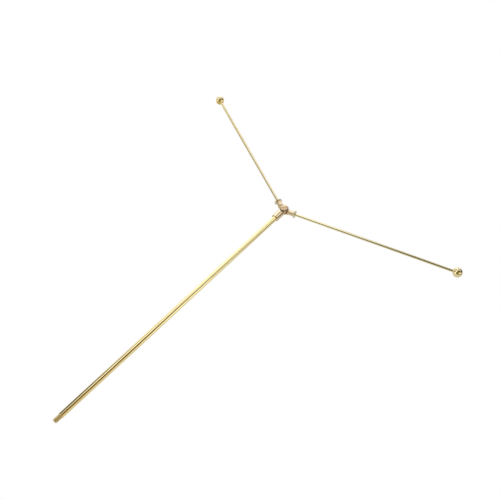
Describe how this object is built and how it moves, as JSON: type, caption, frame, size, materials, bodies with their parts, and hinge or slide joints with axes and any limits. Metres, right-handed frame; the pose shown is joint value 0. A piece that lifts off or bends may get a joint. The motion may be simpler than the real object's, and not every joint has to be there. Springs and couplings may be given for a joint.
{
  "type": "rabbit ears antenna",
  "caption": "Polished brass mast with a screw thread at its foot and a friction hinge at its head, which holds two slim ears with ball tips that open and close as a V.",
  "frame": {"origin": "centre of the mounting shoulder, where the thread leaves the foot of the mast", "axes": "+Y runs up the mast to the hinge, -Y is the way out of the mounting thread, +Z is the hinge axis, and the part lies on its side as pictured, so +X is to the right of the mast seen from above"},
  "size_m": [0.3958, 0.4571, 0.011],
  "materials": {
    "mast_brass": "drawn tube, polished and lacquered",
    "thread_brass": "cut thread, bare",
    "head_brass": "turned and milled, polished",
    "ear_brass": "drawn rod, polished",
    "ball_brass": "turned ball, polished",
    "fibre": "pressed fibre sheet",
    "spring_bronze": "rolled spring bronze, darkened"
  },
  "bodies": {
    "mast": {"mast_tube": "mast_brass", "mast_stud": "thread_brass", "mast_head": "head_brass", "hinge_post": "head_brass", "hinge_screw": "head_brass", "upper_friction_washer": "fibre", "lower_friction_washer": "fibre", "upper_spring_washer": "spring_bronze", "lower_spring_washer": "spring_bronze"},
    "left_ear": {"left_knuckle": "head_brass", "left_lock_nut": "ear_brass", "left_rod": "ear_brass", "left_ball": "ball_brass"},
    "right_ear": {"right_knuckle": "head_brass", "right_lock_nut": "ear_brass", "right_rod": "ear_brass", "right_ball": "ball_brass"}
  },
  "joints": [
    {"name": "left_ear_hinge", "type": "hinge", "parent": "mast", "child": "left_ear", "pos_m": [0, 0.3454, 0], "axis": [0, 0, 1], "range_deg": [-35.4, 42.6]},
    {"name": "right_ear_hinge", "type": "hinge", "parent": "mast", "child": "right_ear", "pos_m": [0, 0.3454, 0], "axis": [0, 0, -1], "range_deg": [-50.4, 27.6]}
  ]
}
